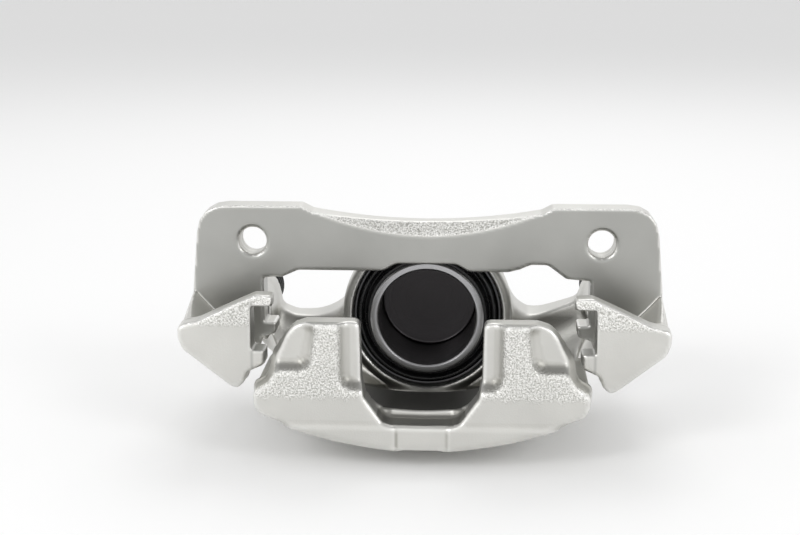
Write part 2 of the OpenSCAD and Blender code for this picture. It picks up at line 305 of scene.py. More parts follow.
# %% Meshes
def make_piece(name, points, faces, body, nodes, slot, material, smooth_angle=40, **attributes):
    """Turn numpy arrays into a mesh object in metres, outward faces, on its body."""
    mesh = bpy.data.meshes.new(name)
    mesh.from_pydata(points * MM, [], [list(f) for f in faces])
    for key, values in attributes.items():
        mesh.attributes.new(key, "FLOAT", "POINT").data.foreach_set("value", values.astype(np.float32))
    mesh.validate()
    piece = bpy.data.objects.new(name, mesh)
    bpy.context.scene.collection.objects.link(piece)
    bm = bmesh.new()
    bm.from_mesh(mesh)
    bmesh.ops.remove_doubles(bm, verts=bm.verts, dist=1e-7)
    bmesh.ops.delete(bm, geom=[e for e in bm.edges if not e.link_faces], context="EDGES")
    bmesh.ops.recalc_face_normals(bm, faces=bm.faces)
    open_edges = sum(1 for e in bm.edges if len(e.link_faces) != 2)
    bm.to_mesh(mesh)
    bm.free()
    mesh.shade_smooth()
    if smooth_angle < 180:
        mesh.set_sharp_from_angle(angle=math.radians(smooth_angle))
    mesh.materials.append(material)
    if body:
        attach(piece, body)
    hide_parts(*nodes)
    print(f"{name}: {len(mesh.polygons)} faces, {open_edges} open edges")
    return piece


# %% [markdown]
# ## Finishes
# Castings of this kind are shot blasted and zinc plated. The skin is a warm silver with a fine
# satin and a coarse grain where the mould was rough; glints on that grain are painted into the
# colour, and so is a highlight along the edges. The machined faces are darker and smoother, and
# painted shade darkens sheltered faces and inner corners. Grain far finer than a mesh belongs in
# the shader, so a node group works it out from the object coordinates, and each material takes it
# with its own strength. Where each kind of skin, painted highlight and painted shade lies is
# stored on the vertices when the casting is made.

# %% Node helpers
def new_group(name, inputs, outputs):
    """An empty shader node group with float or colour sockets, and its two end nodes."""
    group = bpy.data.node_groups.new(name, "ShaderNodeTree")
    for key, default in inputs.items():
        socket = group.interface.new_socket(key, in_out="INPUT", socket_type="NodeSocketFloat")
        socket.default_value = default
    for key in outputs:
        group.interface.new_socket(key, in_out="OUTPUT", socket_type="NodeSocketFloat")
    return group, group.nodes.new("NodeGroupInput"), group.nodes.new("NodeGroupOutput")


def calc(tree, kind, a, b=0.5, c=0.0):
    """A Math node. Each operand is a number or another node's output."""
    node = tree.nodes.new("ShaderNodeMath")
    node.operation = kind
    for socket, value in zip(node.inputs, (a, b, c)):
        if isinstance(value, (int, float)):
            socket.default_value = value
        else:
            tree.links.new(value, socket)
    return node.outputs[0]


def stretch(tree, value, low, high, to_low=0.0, to_high=1.0):
    """A Map Range node: low and high become to_low and to_high, clamped."""
    node = tree.nodes.new("ShaderNodeMapRange")
    tree.links.new(value, node.inputs["Value"])
    for key, number in zip(("From Min", "From Max", "To Min", "To Max"), (low, high, to_low, to_high)):
        node.inputs[key].default_value = number
    return node.outputs["Result"]


def noise(tree, vector, scale, detail=2.0, rough=0.5):
    """A Noise texture's value. The scale is a number or an output."""
    node = tree.nodes.new("ShaderNodeTexNoise")
    tree.links.new(vector, node.inputs["Vector"])
    if isinstance(scale, (int, float)):
        node.inputs["Scale"].default_value = scale
    else:
        tree.links.new(scale, node.inputs["Scale"])
    node.inputs["Detail"].default_value = detail
    node.inputs["Roughness"].default_value = rough
    return node.outputs["Fac"]


def attribute(tree, name):
    """A value stored on the vertices."""
    node = tree.nodes.new("ShaderNodeAttribute")
    node.attribute_name = name
    return node.outputs["Fac"]


def mix(tree, factor, a, b):
    """Colour a where the factor is 0 and colour b where it is 1."""
    node = tree.nodes.new("ShaderNodeMix")
    node.data_type = "RGBA"
    tree.links.new(factor, node.inputs[0])
    for socket, value in zip((node.inputs[6], node.inputs[7]), (a, b)):
        if isinstance(value, tuple):
            socket.default_value = (*value, 1)
        else:
            tree.links.new(value, socket)
    return node.outputs[2]


def dim(tree, colour, factor):
    """Multiply a colour by a value that changes over the surface."""
    node = tree.nodes.new("ShaderNodeMix")
    node.data_type = "RGBA"
    node.blend_type = "MULTIPLY"
    node.inputs[0].default_value = 1.0
    tree.links.new(colour, node.inputs[6])
    tree.links.new(factor, node.inputs[7])
    return node.outputs[2]


def place(tree, group, **values):
    """Put a node group into a material with its own values."""
    node = tree.nodes.new("ShaderNodeGroup")
    node.node_tree = group
    for key, value in values.items():
        socket = node.inputs[key.replace("_", " ")]
        if isinstance(value, (int, float)):
            socket.default_value = value
        else:
            tree.links.new(value, socket)
    return node.outputs


def bump(tree, height, strength, distance):
    """A Bump node fed by a height."""
    node = tree.nodes.new("ShaderNodeBump")
    node.inputs["Strength"].default_value = strength
    node.inputs["Distance"].default_value = distance
    tree.links.new(height, node.inputs["Height"])
    return node.outputs["Normal"]


def new_material(name, metallic):
    """A material with a Principled shader, and its tree."""
    material = bpy.data.materials.new(name)
    material.use_nodes = True
    shader = material.node_tree.nodes["Principled BSDF"]
    shader.inputs["Metallic"].default_value = metallic
    return material, material.node_tree, shader


# %% Shared effects
# Cast grain: two sizes of noise in object coordinates, with the coarse one pushed to hard grains.
cast_grain, g_in, g_out = new_group("cast_grain", {"Grains per metre": 900.0, "Coarse": 0.0},
                                    ["Height", "Shade", "Painted glint"])
where = cast_grain.nodes.new("ShaderNodeTexCoord").outputs["Object"]
coarse = noise(cast_grain, where, g_in.outputs["Grains per metre"], 2.0, 0.6)
fine = noise(cast_grain, where, calc(cast_grain, "MULTIPLY", g_in.outputs["Grains per metre"], 2.6), 2.0)
patch = noise(cast_grain, where, 45.0, 3.0)
hard = stretch(cast_grain, coarse, 0.38, 0.62)
keep = calc(cast_grain, "MULTIPLY_ADD", g_in.outputs["Coarse"], 0.85, 0.15)
height = calc(cast_grain, "ADD", calc(cast_grain, "MULTIPLY", hard, keep),
              calc(cast_grain, "MULTIPLY", fine, 0.25))
cast_grain.links.new(height, g_out.inputs["Height"])
cast_grain.links.new(stretch(cast_grain, patch, 0.3, 0.7, 0.92, 1.0), g_out.inputs["Shade"])
# Painted glint: the hard coarse grains, as strong as Coarse, which the casting paints bright as glints of
# light.
cast_grain.links.new(calc(cast_grain, "MULTIPLY", hard, g_in.outputs["Coarse"]), g_out.inputs["Painted glint"])

# Tool marks: noise on the radius and length that a turned piece stores, so it runs in rings.
tool_marks, g_in, g_out = new_group("tool_marks", {"Lines per mm": 6.0}, ["Height", "Shade"])
join_xyz = tool_marks.nodes.new("ShaderNodeCombineXYZ")
tool_marks.links.new(attribute(tool_marks, "radius"), join_xyz.inputs["X"])
tool_marks.links.new(attribute(tool_marks, "along"), join_xyz.inputs["Y"])
rings = noise(tool_marks, join_xyz.outputs[0], g_in.outputs["Lines per mm"], 3.0, 0.7)
tool_marks.links.new(rings, g_out.inputs["Height"])
tool_marks.links.new(stretch(tool_marks, rings, 0.3, 0.7, 0.82, 1.0), g_out.inputs["Shade"])

# %% Materials
ZINC = (0.64, 0.635, 0.605)
# Painted highlight colour, for glints on the rough grain and light along the edges.
ZINC_PAINTED_HIGHLIGHT = (0.90, 0.895, 0.87)
ZINC_GRAIN = (0.40, 0.395, 0.365)
# Painted shade colour for inner corners.
ZINC_PAINTED_CORNER_SHADE = (0.27, 0.262, 0.225)
MILLED = (0.42, 0.42, 0.40)
# Painted shade colour for sheltered faces.
ZINC_PAINTED_SHADE = (0.17, 0.168, 0.155)


def cast_finish():
    """Zinc-plated casting: satin skin, rough zones with painted glints, a painted highlight along
    the edges, painted shade in corners and on sheltered faces, and milled faces.
    """
    material, tree, shader = new_material("cast_zinc", 1.0)
    rough = attribute(tree, "rough")
    edge = attribute(tree, "edge")
    milled = attribute(tree, "milled")
    grain = place(tree, cast_grain, Grains_per_metre=1250.0, Coarse=rough)
    colour = mix(tree, calc(tree, "MULTIPLY", rough, 0.8), ZINC, ZINC_GRAIN)
    # Painted glints: hard grains of the rough zones brightened in the colour.
    colour = mix(tree, grain["Painted glint"], colour, ZINC_PAINTED_HIGHLIGHT)
    # Painted highlight along outer edges and on the chamfer round the boot recess.
    colour = mix(tree, calc(tree, "MULTIPLY", edge, 0.75), colour, ZINC_PAINTED_HIGHLIGHT)
    # Painted shade in inner corners.
    colour = mix(tree, calc(tree, "MULTIPLY", attribute(tree, "painted_corner_shade"), 0.75), colour, ZINC_PAINTED_CORNER_SHADE)
    colour = mix(tree, milled, colour, MILLED)
    # Painted shade on sheltered faces.
    colour = mix(tree, attribute(tree, "painted_shade"), colour, ZINC_PAINTED_SHADE)
    tree.links.new(dim(tree, colour, grain["Shade"]), shader.inputs["Base Color"])
    satin = calc(tree, "MULTIPLY_ADD", edge, -0.08, 0.40)
    tree.links.new(calc(tree, "MULTIPLY_ADD", milled, -0.03, satin), shader.inputs["Roughness"])
    quiet = calc(tree, "MULTIPLY", grain["Height"], calc(tree, "MULTIPLY_ADD", milled, -0.9, 1.0))
    tree.links.new(bump(tree, quiet, 0.75, 0.00022), shader.inputs["Normal"])
    return material


def turned_finish(name, colour, roughness, lines, depth, dark=None):
    """Turned steel: rings of tool marks. A piece may store where painted shade darkens it."""
    material, tree, shader = new_material(name, 1.0)
    marks = place(tree, tool_marks, Lines_per_mm=lines)
    # Where the piece stores it, the dark colour is painted shade.
    tint = mix(tree, attribute(tree, "dark"), colour, dark or colour)
    tree.links.new(dim(tree, tint, marks["Shade"]), shader.inputs["Base Color"])
    tree.links.new(stretch(tree, marks["Height"], 0.3, 0.7, roughness - 0.06, roughness + 0.06),
                   shader.inputs["Roughness"])
    tree.links.new(bump(tree, marks["Height"], 0.35, depth), shader.inputs["Normal"])
    return material


def rubber_finish():
    """Moulded black rubber: nearly smooth, with a faint bloom that dulls it in patches."""
    material, tree, shader = new_material("rubber_black", 0.0)
    grain = place(tree, cast_grain, Grains_per_metre=1500.0, Coarse=0.2)
    where = tree.nodes.new("ShaderNodeTexCoord").outputs["Object"]
    bloom = stretch(tree, noise(tree, where, 120.0, 3.0), 0.4, 0.75)
    tree.links.new(mix(tree, bloom, (0.006, 0.006, 0.0065), (0.016, 0.016, 0.017)),
                   shader.inputs["Base Color"])
    tree.links.new(stretch(tree, bloom, 0.0, 1.0, 0.27, 0.42), shader.inputs["Roughness"])
    tree.links.new(bump(tree, grain["Height"], 0.12, 0.0001), shader.inputs["Normal"])
    return material


cast_zinc = cast_finish()
# The piston's last colour is painted shade inside its cup.
piston_steel = turned_finish("piston_steel", (0.46, 0.46, 0.47), 0.30, 9.0, 0.00004, (0.05, 0.047, 0.049))
turned_steel = turned_finish("turned_steel", (0.55, 0.55, 0.54), 0.28, 8.0, 0.00003)
zinc_steel = turned_finish("zinc_steel", (0.62, 0.61, 0.56), 0.33, 5.0, 0.00003)
dark_steel = turned_finish("dark_steel", (0.14, 0.14, 0.145), 0.36, 5.0, 0.00002)
black_rubber = rubber_finish()

# %% [markdown]
# ## The carrier bracket
# The bracket is one casting: a plate with two threaded bolt holes, and on each side an arm that
# reaches over the disc to an outboard end. Both the plate and the ends have C-shaped slots, in
# which the pads slide. The front of the plate, the slots and the holes are machined, so they stay
# crisp, and the rest keeps its rounded cast edges. A fillet or a sharp edge is one number here.

# %% Outlines of the bracket
SLOT_X = 76.2
SLOT_FLOOR = -40.7
SLOT_TOP = -22.0
HALF_W = plate_high[0]
PLATE_TOP = plate_high[2]
BOLT_X = 81.0
BOLT_R = 6.3


def plate_outline():
    """The plate seen from the wheel side: raised bolt pads, a dip between them,
    an arch over the piston and a higher arch on the right."""
    dip = [(x, 9 + 0.0017 * x * x) for x in np.linspace(0, 53.5, 12)]
    shoulder = [(58.5, PLATE_TOP), (HALF_W - 3.5, PLATE_TOP), (HALF_W, -22), (HALF_W, -34), (SLOT_X, -34)]
    right = [(SLOT_X - 1, -19.6), (71.5, -17.3), (65, -16.7), (60.5, -13.3), (56.3, -10.2),
             (48.5, -10.2), (43.5, -12.4), (38, -13.8), (20, -13.8), (14, -10.4), (0, -10.3)]
    left = [(SLOT_X - 1, -19.2), (73, -17.2), (67.5, -17.2), (60, -13.8), (20, -13.8), (14, -10.4)]
    r_shoulder = [2.5, 14, 3, 1, 1]
    r_right = [6] * 12 + r_shoulder + [2, 3, 4, 5, 4, 4, 5, 5, 5, 5, 2]
    r_left = [6] * 11 + r_shoulder + [1.5, 1.5, 2.5, 4, 5, 5]
    mirrored = [(-x, z) for x, z in (dip[1:] + shoulder + left)[::-1]]
    return rounded(dip + shoulder + right + mirrored, r_right + r_left[::-1])


def end_outline():
    """An outboard end before its slot is cut: a ridge that falls outwards, a long slope below it
    and the lug that closes the pad slot. Drawn for the right side."""
    points = [(66.8, -16.2), (74.6, -15.8), (84, -20), (100, -27.6), (107.4, -29.4), (109.4, -31),
              (109.2, -36.3), (107.2, -41.2), (86.2, -57.6), (82.8, -58.9), (79.6, -55.6),
              (78, -51), (71.8, -48.2), (70.2, -46.8), (70.2, -36), (67, -30), (66.8, -20)]
    return rounded(points, [1.6, 5, 12, 6, 2, 3, 5, 4, 3, 3, 3, 3, 2, 1.5, 3, 3, 1])


PLATE = plate_outline()
END = end_outline()
PAD_SLOT = [(50, -39), (SLOT_X, -39), (SLOT_X, -17.6), (72, -17.2), (50, -17.2)]
FOOT = rounded([(68.3, -24), (80, -24), (104, -28), (109.4, -31), (109.2, -36.3), (107, -41), (85.6, -58.2),
                (83.2, -59.2), (81.4, -57.4), (79, -51), (77.4, -46.5), (72.2, -45), (70.8, -43.8),
                (70.8, -36), (68.3, -33)], [1, 1, 5, 2, 3, 5, 3, 2, 3, 3, 2, 2, 1.5, 1, 1])
print("plate outline corners:", len(PLATE), "end outline corners:", len(END))


# %% The bracket's field
def arm(x, y, z, side):
    """One arm: the outboard end and the reach over the disc, joined."""
    s = x * side
    lean = (-56.4 - y) + 0.10 * (z + 29.4)
    head = slab(outline(s, z, END), y, -56.4, -45, 2.0)
    head = common(head, lean, 1.2)
    head = cut(head, slab(outline(s, z, [(50, SLOT_FLOOR), (SLOT_X, SLOT_FLOOR), (SLOT_X, SLOT_TOP + 1),
                                         (50, SLOT_TOP + 1.6)]), y, -60, -40), 0.4)
    around = np.hypot(x, z - DISC_Z)
    block = np.maximum(outline(s, z, [(SLOT_X, -15), (HALF_W, -15), (HALF_W, -36.2), (107.2, -41.2),
                                      (86.2, -57.6), (82.8, -58.9), (79.6, -55.6), (SLOT_X, -48)]),
                       ARM_CLEAR_R - around)
    shoulder = (z + 22.5 - 0.274 * (y - FACE_Y)) * 0.8 + (s - HALF_W) * 0.6
    reach = slab(common(block, shoulder, 3.0), y, -47, FACE_Y + 4, 0)
    return join(head, reach, 1.6)


def bracket(x, y, z):
    """Distance to the bracket: the plate with its sloping relief, the arms, and then the holes."""
    slope = (y - FACE_Y) * -0.757 + (z - 3 - 0.004 * x * x) * 0.653
    s = np.abs(x)
    flat = np.maximum(join(outline(x, z, PLATE), outline(s, z, FOOT), 1.5), -outline(s, z, PAD_SLOT))
    body = common(slab(flat, y, FACE_Y, 0, 0.9), slope, 0.8)
    for side in (-1, 1):
        body = join(body, arm(x, y, z, side), 0.3)
    for side in (-1, 1):
        around = np.hypot(x - side * BOLT_X, z) - BOLT_R
        thread = 0.28 * np.abs(((y * 0.8) % 1) - 0.5)
        mouth = np.clip(FACE_Y + 1.3 - y, 0, 2) + np.clip(y + 1.0, 0, 2)
        bolt_hole = np.maximum(around - np.maximum(mouth, thread), np.abs(y + 7) - 9)
        body = cut(body, bolt_hole, 0.5)
        body = cut(body, rod(x, y, z, GUIDES[side], SHANK_R + 0.02, -11, 6), 0.1)
    return body


# %% Skin the bracket
def bracket_marks(p):
    """Where the bracket is rough, where a painted highlight brightens its edges, where painted shade
    darkens its corners, and where it is milled.
    """
    normal = gradient(bracket, p)[1]
    ny, nz = normal[:, 1], normal[:, 2]
    x, y, z = p.T
    front = ramp(-ny, 0.85, 0.97) * (np.abs(y - FACE_Y) < 0.5) * (np.hypot(x, z - DISC_Z) < ARM_CLEAR_R)
    relief = ramp(nz, 0.25, 0.5) * ramp(-ny, 0.25, 0.5) * (y > FACE_Y - 1) * (z > 0)
    top_line = (y < FACE_Y + 1.6) * (y > FACE_Y - 1) * ramp(nz, 0.2, 0.5) * (z > 8)
    head = ramp(z, -30.2, -29.2) * ramp(-y, 52.5, 53.5) * ramp(-ny, 0.5, 0.8)
    back = (np.abs(y) < 0.4) * ramp(ny, 0.85, 0.97)
    slot_walls = (np.abs(np.abs(x) - SLOT_X) < 0.3) * (z < -19)
    slot_floors = (np.abs(z - SLOT_FLOOR) < 0.3) * (np.abs(x) < SLOT_X)
    slots = np.clip(slot_walls + slot_floors, 0, 1)
    curve = curvature(bracket, p)
    return dict(rough=np.clip(relief + top_line + head, 0, 1),
                # Painted highlight on outer edges, weaker on the milled front, and painted shade in inner
                # corners; the bracket gets no painted shade on sheltered faces.
                edge=edge_mask(curve) * (1 - 0.6 * front),
                painted_corner_shade=hollow_mask(curve),
                painted_shade=np.zeros(len(x)),
                milled=np.clip(front + back + 0.8 * slots, 0, 1))


points, faces = skin(bracket, plate_low, plate_high, 1.0)
make_piece("bracket_cast", points, faces, "bracket", ["bracket_casting"], "cast_zinc", cast_zinc, 180,
           **bracket_marks(points))

# %% [markdown]
# ## The caliper housing
# The housing is the other casting. Two fingers press the outboard pad, a bridge passes over the
# disc, a cylinder holds the piston and two ears carry the guides. Pockets are sunk into the
# fingers' faces with sloping walls, which is how a pattern lets go of the sand. The bodies are
# joined with wide fillets, and the bore, the boot recess and the seal groove are turned out last.

# %% Outlines of the housing
def both_sides(right, radii):
    """A closed outline from its right half, which starts and ends on X = 0."""
    left = [(-x, z) for x, z in right[1:-1]]
    return rounded(right + left[::-1], list(radii) + list(radii[1:-1])[::-1])


FINGERS = both_sides(
    [(0, -70.3), (13.2, -69.9), (17, -68.2), (24.9, -57.2), (26.4, -50), (26.8, -31), (27, -24.2),
     (50, -24.2), (55.5, -26), (58.4, -30), (60, -36.3), (61.4, -40), (63.5, -45.8), (66.8, -50.8),
     (72.3, -54.2), (73.5, -56.5), (73.3, -61), (71.3, -65.3), (55, -71.4), (38.4, -76.2),
     (21, -79.4), (11, -80.8), (7, -79.3), (0, -79.2)],
    [1, 3, 3, 5, 8, 6, 3.4, 7, 6, 8, 10, 10, 10, 8, 3, 3, 5, 6, 20, 20, 8, 3, 3, 1])
BRIDGE_SIDE = both_sides(
    [(0, -40), (62, -49.8), (74, -54.6), (73.8, -61), (71.8, -66), (68, -100), (0, -100)],
    [1, 4, 3, 4, 6, 1, 1])
STEP = rounded([(33, -20), (18, -20), (18, -50.6), (33, -50.6)], [1, 1, 1, 3.5])
POCKET = rounded([(48.6, -27), (50.4, -42.4), (70, -42.4), (70, -20), (53, -24)], [3, 4, 1, 1, 3])
POCKET_DEPTH = 4.6
BRIDGE_START = -59.0
BRIDGE_END = 32.0
BRIDGE_TOP_Z = 92.2               # centre of the bridge's flatter outer arc
WEB_Z = -71.5


# %% The housing's field
def fingers(x, y, z):
    """The fingers and the web below them. Their flanks widen towards the disc, and a rough rib
    stands between a step at the inner edge and a pocket at the outer one."""
    depth = y - FINGER_OUT
    s = np.abs(x)
    flare = 5.0 * np.exp(-((z + 41) / 10) ** 2) * np.clip(depth / 13, 0, 1)
    s = s - flare * np.clip((s - 42) / 14, 0, 1)
    body = slab(outline(s, z, FINGERS), y, FINGER_OUT, FINGER_IN + 4, 1.8)
    body = common(body, y - FINGER_IN, 0.4)
    for floor in (STEP, POCKET):
        wall = outline(s, z, floor) + (depth - POCKET_DEPTH) * 0.8
        body = cut(body, common(wall, depth - POCKET_DEPTH, 2.0), 1.6)
    dish = slab(s - 12.2, y, FINGER_OUT - 5, FINGER_OUT + 0.9)
    return cut(body, dish, 1.6)


def bridge(x, y, z):
    """The bridge over the disc: between an inner shell about the disc axis, which opens out
    towards the cylinder, and a flatter outer shell. A web under the fingers carries it on."""
    around = np.hypot(x, z - DISC_Z)
    inner_r = np.interp(y, [-31.5, 3.5], [132.7, 145.7])
    outer_r = np.interp(y, [-72, -50, -15, 6, 20, 32], [172.9, 176, 182, 182.5, 179, 175])
    outside = np.hypot(x, z - BRIDGE_TOP_Z) - outer_r
    shell = common(inner_r - around, outside, 3)
    shell = common(shell, outline(x, z, BRIDGE_SIDE), 4)
    length = np.abs(y - (BRIDGE_START + BRIDGE_END) / 2) - (BRIDGE_END - BRIDGE_START) / 2
    shell = common(shell, length, 0.8)
    web = common(np.maximum(outside, z - WEB_Z), outline(x, z, BRIDGE_SIDE), 3)
    return join(shell, common(web, np.abs(y + 60) - 11.5, 1.5), 1.0)


def cylinder(x, y, z):
    """The cylinder: a rounded collar round the boot recess, and a body with a domed end."""
    r = np.hypot(x - PISTON[0], z - PISTON[1])
    return join(slab(r - 40.8, y, COLLAR_Y, 16, 3.8), slab(r - 38.6, y, 6, 60, 15), 6)


def ear(x, y, z, side):
    """An ear that reaches from the cylinder up to the boss round the guide sleeve."""
    gx, gz = GUIDES[side]
    s = x * side
    gx = abs(gx)
    rise = [(gx - 22, -46.9), (gx - 13.4, -43)] if side < 0 else [(49, -47), (gx - 14.4, gz - 2)]
    shape = rounded([(28, -47)] + rise + [(gx - 9, gz + 8), (gx, gz), (gx + 9, gz - 9),
                                          (gx - 8, -60), (gx - 30, -68), (26, -74)],
                    [1, 9, 5, 1, 1, 4, 8, 10, 1])
    plan = y - (BOSS_OUT + np.clip((gx - 12 - s) * 0.36, 0, 13))
    web = common(slab(outline(s, z, shape), y, 28, 60, 2.2), plan, 2.5)
    return join(web, rod(x, y, z, GUIDES[side], BOSS_R, BOSS_IN, BOSS_OUT, 0.6), 5)


def housing(x, y, z):
    """Distance to the housing: fingers, bridge, cylinder and ears joined, then bored."""
    body = join(bridge(x, y, z), cylinder(x, y, z), 6)
    for side in (-1, 1):
        body = join(body, ear(x, y, z, side), 22)
    body = join(body, fingers(x, y, z), 4)
    body = join(body, rod(x, y, z, BLEEDER, 8.5, 42, 62, 0.9), 5)
    body = join(body, rod(x, y, z, INLET, 9.5, 50, 64, 0.9), 5)
    r = np.hypot(x - PISTON[0], z - PISTON[1])
    bore = slab(r - PISTON_R - 0.06, y, 0, 50)
    chamfer = np.maximum(COLLAR_Y + 1.2 - y, 0)
    recess = np.maximum(r - RECESS_R - chamfer, np.abs(y - RECESS_END / 2) - RECESS_END / 2)
    groove = slab(r - 30.06, y, 16, 19.4)
    body = cut(body, np.minimum(np.minimum(bore, recess), groove), 0.3)
    for side in (-1, 1):
        through = rod(x, y, z, GUIDES[side], BUSHING_R, 0, BOSS_OUT + 6)
        wiper_seat = rod(x, y, z, GUIDES[side], WIPER_R + 0.05, 0, WIPER_END)
        spot_face = rod(x, y, z, GUIDES[side], BOSS_R + 0.8, BOSS_OUT, BOSS_OUT + 21)
        body = cut(body, np.minimum(np.minimum(through, wiper_seat), spot_face), 0.5)
    body = cut(body, rod(x, y, z, BLEEDER, 4.06, 51, 70), 0.3)
    inlet = np.minimum(rod(x, y, z, INLET, 4.5, 52, 70), rod(x, y, z, INLET, 2.0, 46, 70))
    return cut(body, inlet, 0.3)


# %% Skin the housing
def housing_marks(p):
    """Where the housing is rough, where a painted highlight brightens its edges, where painted shade
    darkens its corners and sheltered faces, and where it is turned."""
    normal = gradient(housing, p)[1]
    x, y, z = p.T
    r = np.hypot(x - PISTON[0], z - PISTON[1])
    s = np.abs(x)
    ragged = 1.2 * np.sin(x * 0.9) * np.sin(x * 0.37 + 1)
    rough = ramp(z + ragged, -58.5, -56.5) * ramp(-y, 69.6, 70.6) * ramp(s, 26, 28)
    milled = (r < 35.8) * (y > 3.0) * (y < 51) + (np.abs(y - 64) < 0.4) * (normal[:, 1] > 0.9)
    # Painted highlight on the chamfer round the boot recess.
    collar = (r > RECESS_R + 0.14) * (r < RECESS_R + 1.14) * (y > 3.0) * (y < 5.5)
    sheltered = np.clip(ramp(-r, -47, -42) * ramp(r, 36.7, 37.1) + ramp(-z, 41, 46) * (s > 40), 0, 1)
    front_faces = ramp(-normal[:, 1], 0.35, 0.8) * ramp(y, 1, 5) * sheltered
    depth = y - FINGER_OUT
    pocket_wall = ramp(normal[:, 2], 0.25, 0.55) * (depth > 0.7) * (depth < 4.5) * (z > -57) * (s < 64)
    under_disc = ramp(normal[:, 2], 0.2, 0.6) * (np.hypot(x, z - DISC_Z) < 147) * ramp(y, -60.5, -58.5)
    under_disc = under_disc * ramp(6 - y, 0, 3) * ramp(-z, 62, 66) * (s < 60)
    # the step where the bridge starts behind the web: only its upper lip catches the light
    step = (y > -71) * (y < -56) * (z > -74) * ((z < -68.2) * (s < 20) + (z < -65) * (s > 14) * (s < 21))
    mouth = (y > -9) * (y < 12) * (z < -60) * (s < 46) * (r > 37)
    # Painted shade on faces sheltered from the light: front faces round the cylinder, the bridge's
    # underside over the disc, the lower pocket walls, the step and the boot's mouth. Quiet takes the
    # painted edge highlight off the underside, the step and the mouth.
    quiet = np.clip(0.7 * under_disc + step + mouth, 0, 1)
    painted_shade = front_faces + under_disc + 0.55 * pocket_wall + 0.75 * step + 0.8 * mouth
    curve = curvature(housing, p)
    return dict(rough=rough,
                # Painted highlight on outer edges and the chamfer, and painted shade in inner corners and
                # on sheltered faces.
                edge=np.maximum(edge_mask(curve) * (1 - quiet), collar),
                painted_corner_shade=hollow_mask(curve),
                painted_shade=np.clip(painted_shade, 0, 1),
                milled=np.clip(milled, 0, 1))


points, faces = skin(housing, housing_low, housing_high, 1.1)
make_piece("caliper_cast", points, faces, "caliper", ["caliper_housing"], "cast_zinc", cast_zinc, 180,
           **housing_marks(points))

# %% [markdown]
# ## Turned and moulded pieces
# Everything else on a brake caliper is round: the piston and sleeves come off a lathe, and the
# rubber is moulded round. One closed profile of radius against length, spun round the axis, gives
# each of them. A hexagon is the same spin with its radius limited to the distance of the flats.

# %% The lathe
def lathe(profile, axis, turns=96, across_flats=0.0, hex_from=1e9, hex_to=1e9):
    """Spin a closed profile of (radius, y) points round the Y axis through axis = (x, z).
    Between hex_from and hex_to the radius stops at the flats of a hexagon:
    half the width across flats over the cosine of the angle from the nearest flat's middle."""
    profile = np.asarray(profile, float)
    angle = np.arange(turns) * 2 * math.pi / turns
    r = np.repeat(profile[:, 0, None], turns, 1)
    y = np.repeat(profile[:, 1, None], turns, 1)
    flat = across_flats / 2 / np.cos((angle + math.pi / 6) % (math.pi / 3) - math.pi / 6)
    r = np.where((y > hex_from) & (y < hex_to), np.minimum(r, flat), r)
    points = np.stack([axis[0] + r * np.cos(angle), y, axis[1] + r * np.sin(angle)], -1)
    i, j = np.meshgrid(np.arange(len(profile)), np.arange(turns), indexing="ij")
    k, m = (i + 1) % len(profile), (j + 1) % turns
    faces = np.stack([i * turns + j, i * turns + m, k * turns + m, k * turns + j], -1)
    return points.reshape(-1, 3), faces.reshape(-1, 4), r.ravel(), y.ravel()


def turned_piece(name, profile, axis, body, slot, material, radius=0.3, dark=None, soft=35,
                 **lathe_extra):
    """A lathe piece that stores its radius and length for the tool marks."""
    profile = rounded(profile, radius, 4)
    points, faces, r, y = lathe(profile, axis, **lathe_extra)
    marks = dict(radius=r, along=y, dark=dark(r, y) if dark else np.zeros(len(r)))
    return make_piece(name + "_finished", points, faces, body, [name], slot, material, soft, **marks)


# %% Piston
# A deep steel cup: turned and hardened outside, with painted shade in the colour inside the cup,
# and a groove for the boot.
turned_piece("piston",
             [(0, RIM_Y + 38), (22.6, RIM_Y + 38), (23.4, RIM_Y + 37), (23.4, RIM_Y + 0.7), (24.1, RIM_Y),
              (26.3, RIM_Y), (27, RIM_Y + 0.7), (27, 1), (25.7, 1), (25.7, 3.6), (27, 3.6),
              (27, PISTON_END - 1), (26, PISTON_END), (0, PISTON_END)],
             PISTON, "piston", "turned_steel", piston_steel,
             [0, 1.5, 1, 0.3, 0.3, 0.3, 0.3, 0.1, 0.3, 0.3, 0.1, 0.3, 0.3, 0], turns=160,
             dark=lambda r, y: (r < 23.5) * (y > RIM_Y + 0.9) + 0.0)

# %% Dust boot
# The boot's bead sits in the recess behind the retaining ring, and its lip in the piston's groove.
# The folds stay inside the recess. Only the thin sleeve next to the piston follows it out, so that
# it passes under the bracket's arch.
dust_boot = turned_piece(
    "piston_boot",
    [(25.8, 1.2), (28.3, 1.0), (28.4, 1.8), (28.4, 3.35), (28.4, 4.2), (29.2, 6.6), (30.0, 7.4),
     (30.8, 6.6), (31.2, 4.7), (32.2, 3.8), (33.0, 4.8), (33.3, 7.0), (33.6, 8.0), (35.6, 8.0),
     (35.6, 10.9), (28.2, 10.9), (28.2, 9.6), (32.2, 9.3), (32.4, 8.2), (32.1, 5.4), (31.8, 7.2),
     (30.0, 8.6), (28.4, 7.2), (27.5, 4.2), (27.4, 3.4), (25.8, 3.4)],
    PISTON, None, "rubber_black", black_rubber,
    [0.3, 0.5, 0.4, 0, 0.3, 0.8, 0.8, 0.8, 0.8, 0.9, 0.8, 0.5, 0.3, 0.3, 0.3, 0.3, 0.3, 0.3, 0.3, 0.15, 0.3,
     0.8, 0.8, 0.3, 0, 0.3], turns=144, soft=60)

